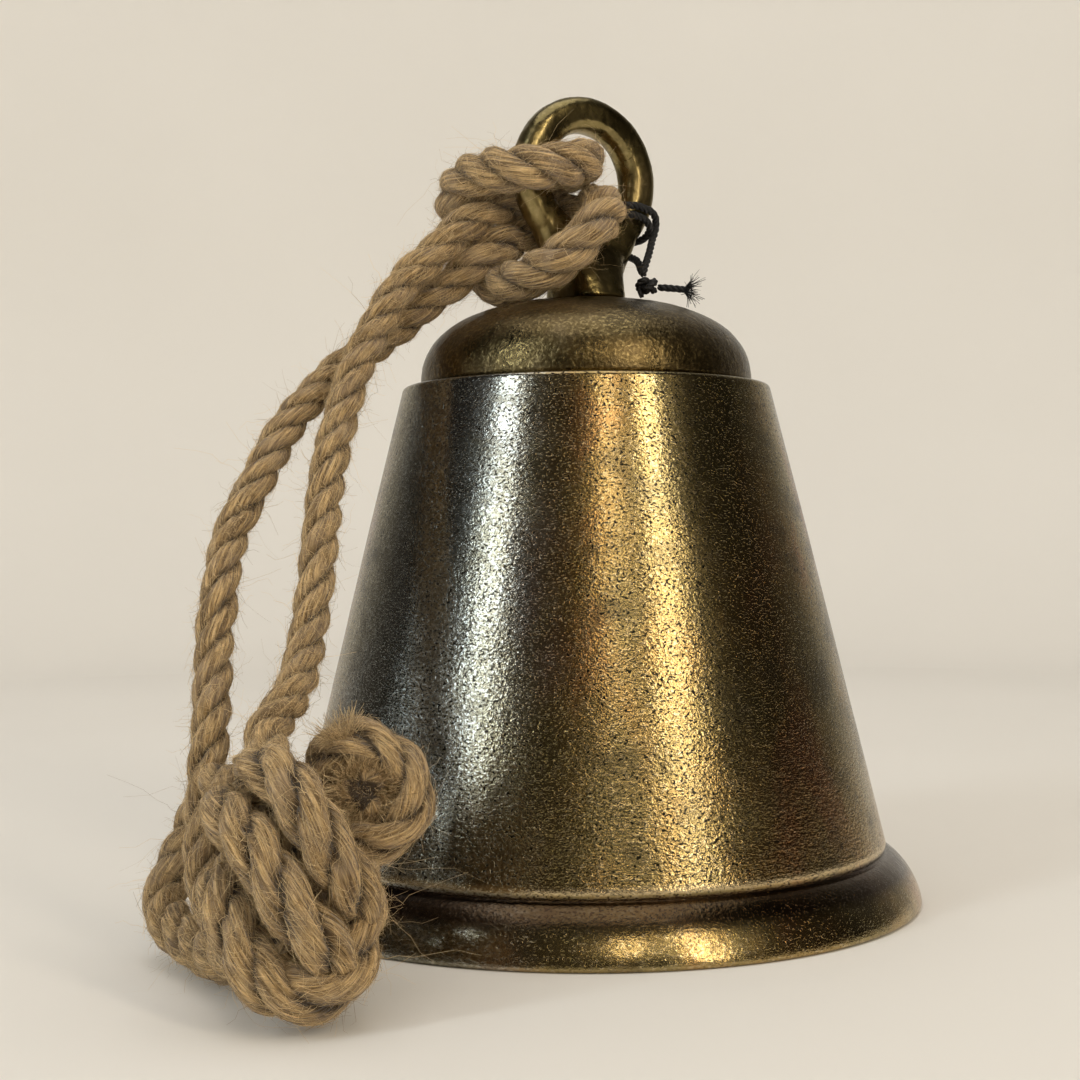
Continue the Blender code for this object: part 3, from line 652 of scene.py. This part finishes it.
PRESSED_BELOW, PRESSED_TO, PRESSED_OVER = 0.4, 0.1, 1.5


def above_floor(grids):
    """Presses what would go through the table flat against it."""
    height = grids[..., 2]
    pressed = PRESSED_TO + (PRESSED_BELOW - PRESSED_TO) * np.exp((height - PRESSED_BELOW) / PRESSED_OVER)
    grids[..., 2] = np.where(height < PRESSED_BELOW, pressed, height)
    return grids


def add_rope(jute, fibre):
    """The rope from the knot up to the hitch and back, as two halves that meet behind the eye's leg."""
    route = [IN_KNOT_RIGHT] + RIGHT_FALL_ROUTE[::-1] + HITCH_ROUTE + LEFT_FALL_ROUTE + [IN_KNOT_LEFT]
    line = smooth_route(route, STEP)
    along = lengths(line)
    hitch_from = lengths(np.array(RIGHT_FALL_ROUTE))[-1] + HITCH_OVERLAP
    hitch_to = along[-1] - lengths(np.array(LEFT_FALL_ROUTE))[-1] - HITCH_OVERLAP
    swell = eased_in(along, hitch_from) * (1 - eased_in(along, hitch_to))
    radius = ROPE_DIAMETER / 2 + (HITCH_RADIUS - ROPE_DIAMETER / 2) * swell
    grids, fibres, grooves = strand_grids(line, radius, ROPE_LAY, 0.4, 11)
    grids = above_floor(grids)
    bridge = int(np.argmin(np.linalg.norm(line - np.array(BRIDGE), axis=1)))
    halves = (("rope_right", slice(0, bridge + 1), "start", 21, ("rope_right_fall", "rope_hitch")),
              ("rope_left", slice(bridge, None), "end", 31, ("rope_left_fall",)))
    made = {}
    for name, part, end, seed, nodes in halves:
        piece = rope_object(name, grids[:, part], fibres[:, part], grooves[:, part], jute, closed=end)
        on_bell(piece, "jute_rope", *nodes)
        loose = furred(name, grids[:, part], grooves[:, part], fibre, 11000, seed)
        for extra in loose:
            on_bell(extra, "jute_rope")
        made[name] = (piece, line[part] * MM, line[bridge] * MM, loose)
    return made


BRUSH_POINTS, BRUSH_UNEVENNESS, BRUSH_CURL, BRUSH_SPLAY = 6, 0.22, 0.35, 0.25


def brush(name, centre, direction, radius, count, long, spread, finish, seed, thickness):
    """Cut fibres that stand out of a rope's end round direction, splaying outwards."""
    draw = np.random.default_rng(seed)
    direction = unit(np.asarray(direction, float))
    side = unit(np.cross(direction, [0.31, 0.2, 0.93]))
    other = np.cross(direction, side)
    far = radius * np.sqrt(draw.uniform(0, 1, count))
    turn = draw.uniform(0, 2 * math.pi, count)
    outward = np.cos(turn)[:, None] * side + np.sin(turn)[:, None] * other
    root = np.asarray(centre, float) + far[:, None] * outward
    lean = outward * (spread * far / radius)[:, None] + draw.normal(0, BRUSH_UNEVENNESS, (count, 3))
    heading = unit(direction + lean)
    curl = draw.normal(0, BRUSH_CURL, (count, 3)) + outward * BRUSH_SPLAY
    share = np.linspace(0, 1, BRUSH_POINTS)[None, :, None]
    reach = (long * draw.uniform(0.35, 1.0, count))[:, None, None]
    line = root[:, None] + heading[:, None] * reach * share + curl[:, None] * reach * share**2
    return hair_object(name, line, finish, draw, thickness)


def rope_along(name, route, radius, lay, phase, seed, finish, sides=SIDES, rough=1.0):
    """A piece of rope along a route of (right, towards the camera, up) points. radius is a number, or
    a function of the length along the rope."""
    line = smooth_route(viewed(route), STEP)
    if callable(radius):
        radius = radius(lengths(line))
    grids, fibres, grooves = strand_grids(line, radius, lay, phase, seed, sides, rough=rough)
    grids = above_floor(grids)
    return rope_object(name, grids, fibres, grooves, finish), grids, grooves


def add_knot(jute, fibre):
    """The knot with its filling, the bight, the stub of the cut end and the brushes of cut fibres."""
    turn_from = lengths(smooth_route(viewed(KNOT_ROUTE[:KNOT_PASS_POINTS]), STEP))[-1]

    def knot_radius(along):
        return KNOT_RADIUS + (END_TURN_RADIUS - KNOT_RADIUS) * eased_in(along, turn_from)

    knot, grids, grooves = rope_along("foot_knot", KNOT_ROUTE, knot_radius, 25.0, 1.1, 77, jute, 28, 1.9)
    pieces = [knot] + furred("foot_knot", grids, grooves, fibre, 15000, 41)
    core, _, _ = rope_along("foot_core", CORE_ROUTE, CORE_RADIUS, 26.0, 0.5, 80, jute)
    bight, grids, grooves = rope_along("foot_bight", BIGHT_ROUTE, BIGHT_RADIUS, 21.0, 0.2, 78, jute,
                                       rough=1.5)
    pieces += [core, bight] + furred("foot_bight", grids, grooves, fibre, 4000, 43)
    stub, _, _ = rope_along("cut_end", CUT_END_ROUTE, CUT_END_RADIUS, 20.0, 0.9, 79, jute)
    facing = viewed((0.05, 1.0, 0.12))[0]
    root = viewed(CUT_END_ROUTE[-1])[0] - facing * 2.4
    pieces += [stub,
               brush("cut_end_brush", root, facing, CUT_END_RADIUS, 2200, 2.9, 0.5, fibre, 45, 0.07),
               brush("loose_tuft", viewed((-39.6, 71.5, 38.4))[0], viewed((-0.4, 0.25, 1.0))[0],
                     2.2, 700, 3.4, 0.4, fibre, 46, 0.05)]
    stands_for = {knot: ("rope_knot", "rope_end_turn"), bight: ("rope_side_bight",), stub: ("rope_cut_end",)}
    for piece in pieces:
        on_bell(piece, "jute_rope", *stands_for.get(piece, ()))
    return pieces


def overhand(centre, size, turn):
    """Points along a small overhand knot."""
    t = np.linspace(0.25, 2 * math.pi - 0.25, 90)
    wide = 1.0 + 0.45 * np.cos(3 * t)
    points = np.stack([wide * np.cos(2 * t), wide * np.sin(2 * t), 0.75 * np.sin(3 * t)], axis=1)
    points = points * size
    c, s = math.cos(turn), math.sin(turn)
    return np.asarray(centre) + points @ np.array([[c, s, 0], [-s, c, 0], [0, 0, 1]])


def tag_piece(name, line, radius, seed, finish):
    """Three-strand cord of this radius along line, in mm."""
    grids, fibres, grooves = strand_grids(line, radius, TAG_LAY, 0.0, seed, TAG_SIDES, TAG_FIBRE_LAY)
    return rope_object(name, grids, fibres, grooves, finish)


def add_tag_cord(black, black_fibre):
    """Two turns round the eye's far leg, the knot under them, the frayed tail and the short end."""
    line = smooth_route(TAG_TURNS_ROUTE, TAG_STEP)
    turns = tag_piece("tag_turns", line, TAG_CORD_DIAMETER / 2, 5, black)
    tail = tag_piece("tag_tail", smooth_route(TAG_TAIL_ROUTE, TAG_STEP), 0.7, 6, black)
    knot_line = respaced(overhand(TAG_KNOT_CENTRE, TAG_KNOT_SIZE, TAG_KNOT_TURN), TAG_STEP)
    knot = tag_piece("tag_knot", knot_line, 0.7, 7, black)
    end = np.array(TAG_TAIL_ROUTE[-1])
    heading = unit(end - np.array(TAG_TAIL_ROUTE[-2]))
    frayed = brush("tag_frayed_end", end - 0.4 * heading, heading, 0.7, 110, 3.0, 0.9, black_fibre, 8, 0.10)
    short = tag_piece("tag_short_end", smooth_route(TAG_SHORT_END_ROUTE, TAG_STEP), 0.6, 9, black)
    pieces = [tail, knot, frayed, short]
    stands_for = {turns: ("tag_cord_turns",), tail: ("tag_cord_tail",), knot: ("tag_cord_knot",)}
    for piece in [turns] + pieces:
        on_bell(piece, "black_cord", *stands_for.get(piece, ()))
    return turns, line * MM, pieces


# ---------------------------------------------------------------- bell

def lathe(name, profile, steps, finish, relief=None):
    """Profile points (r, z) turned about Z. relief(points) is how far, in mm, the surface moves out."""
    profile = np.asarray(profile, float)
    turn = 2 * math.pi * np.arange(steps) / steps
    points = np.stack([profile[:, :1] * np.cos(turn), profile[:, :1] * np.sin(turn),
                       np.broadcast_to(profile[:, 1:], (len(profile), steps))], axis=-1)
    slope = unit(np.gradient(profile, axis=0))
    out = np.stack([-slope[:, 1:] * np.cos(turn), -slope[:, 1:] * np.sin(turn),
                    np.broadcast_to(slope[:, :1], (len(profile), steps))], axis=-1)
    if relief:
        moved = relief(points.reshape(-1, 3))
        points = points + moved.reshape(points.shape[:2])[..., None] * out
    return new_object(name, points.reshape(-1, 3), ring_quads(len(profile), steps)[:, ::-1], finish)


def dense(profile, step):
    """The profile with straight stretches divided up, its corners kept."""
    made = [profile[0]]
    for a, b in zip(profile, profile[1:]):
        count = max(1, round(math.dist(a, b) / step))
        made += [tuple(p + (q - p) * i / count for p, q in zip(a, b)) for i in range(1, count + 1)]
    return made


def squared_arc(angle, power):
    """The two sides of a squared-off quarter round, each from 0 to 1, at this angle from its start."""
    return math.sin(angle) ** (2 / power), max(0.0, math.cos(angle)) ** (2 / power)


def angles(first, last, count):
    """This many angles in radians, from first to last in degrees."""
    return [math.radians(first + (last - first) * i / (count - 1)) for i in range(count)]


MOUTH_RADIUS, WAIST_RADIUS, WAIST_Z = 63.4, 57.2, 9.8
SHOULDER_RADIUS, SHOULDER_Z, SHOULDER_ROUND = 35.8, 98.6, 1.0
WALL, LIP_INNER_RADIUS, LIP_POWER, LIP_FOOT_Z = 3.0, 56.6, 1.5, 0.6
CROWN_RADIUS, CROWN_HEIGHT, CROWN_POWER, CROWN_SEAT_Z = 32.2, 16.7, 2.45, 98.9
CROWN_INNER_RADIUS, CROWN_INNER_HEIGHT, CROWN_INNER_TOP_Z, CROWN_BORE = 27.4, 13.5, 111.6, 3.3
SPIGOT_RADIUS, SPIGOT_Z, SEAT_GAP, LEDGE_Z = 30.0, 94.6, 0.3, 95.6
SKIRT_SIDES, DOME_SIDES = 640, 420
SHARP_CORNER = math.radians(38)


def skirt_radius(z):
    return WAIST_RADIUS + (z - WAIST_Z) / (SHOULDER_Z - WAIST_Z) * (SHOULDER_RADIUS - WAIST_RADIUS)


def skirt_profile():
    """Outer side from the seat over the shoulder, down the wall, groove and lip, then up the inside."""
    seat = SPIGOT_RADIUS + SEAT_GAP
    outer = [(seat, SHOULDER_Z)]
    for turn in angles(90, 10, 7):
        outer.append((SHOULDER_RADIUS - SHOULDER_ROUND * (1 - math.cos(turn)),
                      SHOULDER_Z - SHOULDER_ROUND * (1 - math.sin(turn))))
    outer += [(skirt_radius(z), z) for z in (70.0, 40.0, WAIST_Z + 2.2, WAIST_Z + 1.4)]
    outer += [(WAIST_RADIUS - inwards, WAIST_Z + above)
              for inwards, above in ((0.5, 0.7), (0.6, 0.3), (0.3, 0.0))]
    bulge = MOUTH_RADIUS - WAIST_RADIUS + 0.2
    for turn in angles(84, 0, 24):
        rise, reach = squared_arc(turn, LIP_POWER)
        outer.append((MOUTH_RADIUS - bulge * (1 - reach), LIP_FOOT_Z + (WAIST_Z - LIP_FOOT_Z) * rise))
    inner = [(MOUTH_RADIUS - 0.2, 0.25), (MOUTH_RADIUS - 0.6, 0.0), (LIP_INNER_RADIUS + 0.8, 0.0)]
    inner += [(LIP_INNER_RADIUS + 0.2, 0.3), (LIP_INNER_RADIUS, 0.8), (LIP_INNER_RADIUS - 0.8, 5.0)]
    inner += [(skirt_radius(z) - WALL, z) for z in (14.0, 40.0, 70.0, 94.1)]
    inner += [(seat + 0.8, LEDGE_Z), (seat, LEDGE_Z), (seat, SHOULDER_Z - 0.02)]
    return outer, inner


def skirt_relief(points):
    """Shallow dents and grains, deepest low on the wall, fading out at the rim."""
    dents = 0.045 * noise(points, 9.0, 1, 2) + 0.020 * noise(points * [1, 1, 1.5], 1.5, 2, 2)
    height = points[:, 2]
    return dents * np.clip((105 - height) / 80, 0.25, 1) * np.clip(height / 1.5, 0, 1)


def add_skirt(brass, inside):
    outer, inner = skirt_profile()
    outer, inner = dense(outer, 0.55), dense(inner, 2.0)
    skirt = lathe("skirt", outer + inner, SKIRT_SIDES, brass, skirt_relief)
    skirt.data.materials.append(inside)
    rows = np.repeat(np.arange(len(outer + inner) - 1) >= len(outer) + 2, SKIRT_SIDES)
    skirt.data.polygons.foreach_set("material_index", rows.astype(np.int32))
    skirt.data.set_sharp_from_angle(angle=SHARP_CORNER)
    on_bell(skirt, "polished_brass", "bell_skirt")


def dome_relief(points):
    """The soft lumps and the grain of a sand casting."""
    return 0.07 * noise(points, 5.0, 4, 2) + 0.055 * noise(points, 1.1, 5, 2)


def add_dome(cast):
    outer = []
    for turn in angles(2, 90, 70):
        reach, rise = squared_arc(turn, CROWN_POWER)
        outer.append((CROWN_RADIUS * reach, CROWN_SEAT_Z + CROWN_HEIGHT * rise))
    outer += [(SPIGOT_RADIUS, CROWN_SEAT_Z - 0.1), (SPIGOT_RADIUS, SPIGOT_Z), (CROWN_INNER_RADIUS, SPIGOT_Z)]
    inner = []
    for turn in angles(90, 18, 30):
        reach, rise = squared_arc(turn, CROWN_POWER)
        inner.append((CROWN_INNER_RADIUS * reach,
                      min(CROWN_INNER_TOP_Z, CROWN_SEAT_Z + CROWN_INNER_HEIGHT * rise)))
    profile = dense(outer, 0.6) + inner + [(CROWN_BORE, CROWN_INNER_TOP_Z)]
    on_bell(lathe("dome", profile, DOME_SIDES, cast, dome_relief), "cast_brass", "crown_dome")


EYE_CENTRE_Z, EYE_RADIUS, EYE_HOLE_RADIUS, EYE_THICKNESS = 139.5, 16.0, 9.0, 6.4
EYE_EDGE, EYE_SKIN_SIZE, EYE_WEAR = 2.8, 0.34, 7
EYE_ARC = np.radians(np.linspace(-44, 224, 97))
EYE_NECK = [(-9.2, 123.2), (-7.6, 119.6), (7.6, 119.6), (9.2, 123.2)]
EYE_FOOT = [(3.0, 3.0, 112.0), (5.6, 8.8, 115.9), (5.7, 8.3, 116.9), (5.8, 8.0, 117.7), (6.4, 6.8, 120.1),
            (7.8, 5.0, 123.5), (8.8, 2.8, 127.4)]  # half widths along X and Y, and height
FOOT_RINGS, FOOT_SIDES, FOOT_SQUARENESS = 40, 48, 0.6


def evaluated(made):
    """The mesh that an object comes to with its modifiers. The object itself goes."""
    data = bpy.data.meshes.new_from_object(made.evaluated_get(bpy.context.evaluated_depsgraph_get()))
    bpy.data.objects.remove(made)
    return data


def eye_circle(radius, turn):
    return np.stack([radius * np.cos(turn), EYE_CENTRE_Z + radius * np.sin(turn)], axis=1)


def eye_ring():
    """The flat eye with its hole and rounded edges, as points and faces."""
    curve = bpy.data.curves.new("eye_ring", "CURVE")
    curve.dimensions = "2D"
    curve.fill_mode = "BOTH"
    curve.extrude = EYE_THICKNESS / 2 - EYE_EDGE
    curve.bevel_depth = EYE_EDGE
    curve.offset = -EYE_EDGE
    curve.bevel_resolution = 5
    hole = eye_circle(EYE_HOLE_RADIUS, np.linspace(0, 2 * math.pi, 96, endpoint=False))
    for outline in (np.vstack([EYE_NECK, eye_circle(EYE_RADIUS, EYE_ARC)]), hole):
        line = curve.splines.new("POLY")
        line.points.add(len(outline) - 1)
        for point, (x, z) in zip(line.points, outline):
            point.co = (x, z, 0.0, 1.0)
        line.use_cyclic_u = True
    solid = evaluated(linked("eye_ring", curve))
    points = np.array([v.co for v in solid.vertices])[:, [0, 2, 1]] * [1, -1, 1]
    return points, [tuple(p.vertices) for p in solid.polygons]


def eye_foot(first):
    """The spreading foot as points and faces, its points numbered from first."""
    foot = np.array(EYE_FOOT)
    heights = np.linspace(foot[0, 2], foot[-1, 2], FOOT_RINGS)
    turn = 2 * math.pi * (np.arange(FOOT_SIDES) + 0.5) / FOOT_SIDES
    across, deep = (np.interp(heights, foot[:, 2], foot[:, k])[:, None]
                    * np.sign(side) * abs(side) ** FOOT_SQUARENESS
                    for k, side in enumerate((np.cos(turn), np.sin(turn))))
    skin = np.stack(np.broadcast_arrays(across, deep, heights[:, None]), axis=-1).reshape(-1, 3)
    ends = [tuple(range(first, first + FOOT_SIDES))[::-1],
            tuple(range(first + len(skin) - FOOT_SIDES, first + len(skin)))]
    return skin, [tuple(q) for q in ring_quads(FOOT_RINGS, FOOT_SIDES, first)] + ends


def add_eye(cast):
    """The cast eye: a rounded ring run into its spreading foot, remeshed as one skin and worn smooth."""
    points, faces = eye_ring()
    skin, skin_faces = eye_foot(len(points))
    mesh = bpy.data.meshes.new("eye_rough")
    mesh.from_pydata([tuple(p) for p in np.vstack([points, skin])], [], faces + skin_faces)
    rough = linked("eye_rough", mesh)
    remesh = rough.modifiers.new("skin", "REMESH")
    remesh.mode = "VOXEL"
    remesh.voxel_size = EYE_SKIN_SIZE
    worn = rough.modifiers.new("worn", "SMOOTH")
    worn.factor = 0.5
    worn.iterations = EYE_WEAR
    data = evaluated(rough)
    place = np.array([v.co for v in data.vertices])
    out = np.array([v.normal for v in data.vertices])
    place = place + out * (0.13 * noise(place, 4.5, 6, 2) + 0.05 * noise(place, 1.2, 7, 2))[:, None]
    data.vertices.foreach_set("co", (place * MM).ravel())
    data.update()
    data.shade_smooth()
    data.materials.append(cast)
    on_bell(linked("eye", data), "cast_brass", "hanging_eye")


# ---------------------------------------------------------------- stage

STAGE_RADIUS, SWEEP_RADIUS, STAGE_HEIGHT, STAGE_SIDES = 620.0, 300.0, 1500.0, 96
LIGHT_TARGET = Vector((0.0, 0.0, 60.0 * MM))
LIGHTS = [  # name, azimuth, elevation, distance, width and height in metres, radiance, colour
    ("window", -51, 26, 1.2, 0.13, 0.80, 10.4, (0.86, 0.95, 1.0)),
    ("low_window", -84, 6, 1.1, 0.13, 0.12, 4.0, (0.86, 0.95, 1.0)),
    ("lamp", 37, 25, 1.2, 0.12, 0.85, 10.5, (1.0, 0.88, 0.69)),
    ("second_lamp", 12, 31, 1.2, 0.07, 0.42, 8.5, (1.0, 0.87, 0.66)),
    ("fill", 28, 30, 1.6, 1.5, 0.9, 0.26, (1.0, 0.86, 0.64)),
    ("top", 0, 89, 1.5, 1.3, 1.3, 1.45, (1.0, 0.98, 0.95)),
]


def add_stage(finish):
    """A pale floor that sweeps up into a wall all round, beyond every camera."""
    edge = (STAGE_RADIUS, 0.0)
    turns = np.radians(range(6, 91, 6))
    sweep = [(STAGE_RADIUS + SWEEP_RADIUS * math.sin(t), SWEEP_RADIUS * (1 - math.cos(t))) for t in turns]
    floor = lathe("floor", [(0.01, 0.0), edge], STAGE_SIDES, finish)
    wall = lathe("sweep", [edge] + sweep + [(STAGE_RADIUS + SWEEP_RADIUS, STAGE_HEIGHT)], STAGE_SIDES, finish)
    wall.visible_glossy = False
    wall.visible_shadow = False


def add_light(name, azimuth, elevation, distance, width, height, radiance, colour):
    """An area light at this azimuth from the camera's side, shining at the bell. Radiance sets its power."""
    a, e = math.radians(azimuth), math.radians(elevation)
    place = RIGHT * math.sin(a) * math.cos(e) + NEAR * math.cos(a) * math.cos(e) + UP * math.sin(e)
    place = Vector(place * distance) + LIGHT_TARGET
    data = bpy.data.lights.new(name, "AREA")
    data.shape = "RECTANGLE"
    data.size = width
    data.size_y = height
    data.energy = radiance * math.pi * width * height
    data.color = colour
    light = linked(name, data)
    light.location = place
    light.rotation_euler = (LIGHT_TARGET - place).to_track_quat("-Z", "Y").to_euler()
    light.visible_camera = False


def add_world():
    """Dark towards the camera's side, pale behind the bell."""
    world = bpy.data.worlds.new("studio")
    bpy.context.scene.world = world
    world.use_nodes = True
    tree = world.node_tree
    tree.nodes.clear()
    out = tree.nodes.new("ShaderNodeOutputWorld")
    back = tree.nodes.new("ShaderNodeBackground")
    tree.links.new(back.outputs[0], out.inputs[0])
    direction = node(tree, "ShaderNodeTexCoord", "Generated")
    behind = dot(tree, direction, -NEAR)
    colour = ramp(tree, ramp_grey(tree, behind, -1.0, 1.0, 0.0, 1.0),
                  [(0.0, (0.05, 0.042, 0.03)), (0.55, (0.012, 0.010, 0.008)), (0.75, (0.10, 0.09, 0.075)),
                   (0.95, (0.55, 0.52, 0.46))])
    set_input(tree, back.inputs["Color"], colour)


# ---------------------------------------------------------------- making

add_camera()
bpy.context.scene.view_settings.view_transform = "Standard"

jute = jute_finish("jute", (0.82, 0.585, 0.30), (0.49, 0.32, 0.135), (0.085, 0.047, 0.019))
fibre = fibre_finish("jute_fibres", (0.90, 0.68, 0.38), (0.18, 0.105, 0.043))
black = black_cord_finish()
black_fibre = fibre_finish("black_fibres", (0.03, 0.03, 0.03), (0.004, 0.004, 0.004))
brass = brass_finish()
inside = cast_finish("bell_inside", [(0.05, 0.035, 0.016), (0.085, 0.06, 0.026), (0.12, 0.085, 0.04)],
                     (0.20, 0.15, 0.07), 0.52, 1.2, 0.2)
cast = cast_finish("cast_bronze", [(0.085, 0.062, 0.026), (0.135, 0.096, 0.040), (0.17, 0.125, 0.065)],
                   (0.46, 0.35, 0.16), 0.28, 0.6, 0.16)
eye_cast = cast_finish("eye_bronze", [(0.19, 0.15, 0.065), (0.26, 0.205, 0.085), (0.31, 0.24, 0.11)],
                       (0.42, 0.33, 0.16), 0.27, 1.3, 0.08)
fittings = cast_finish("fittings", [(0.10, 0.08, 0.05), (0.15, 0.12, 0.07), (0.19, 0.14, 0.08)],
                       (0.30, 0.23, 0.13), 0.42, 1.2, 0.08)

cords = add_rope(jute, fibre)
knot_pieces = add_knot(jute, fibre)
turns, turns_line, tag_pieces = add_tag_cord(black, black_fibre)

add_skirt(brass, inside)
add_dome(cast)
add_eye(eye_cast)

for name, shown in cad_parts.items():
    finish = brass if name == "clapper_ball" else fittings
    for slot in shown.material_slots:
        slot.material = finish

add_stage(floor_finish())
add_world()
for light in LIGHTS:
    add_light(*light)
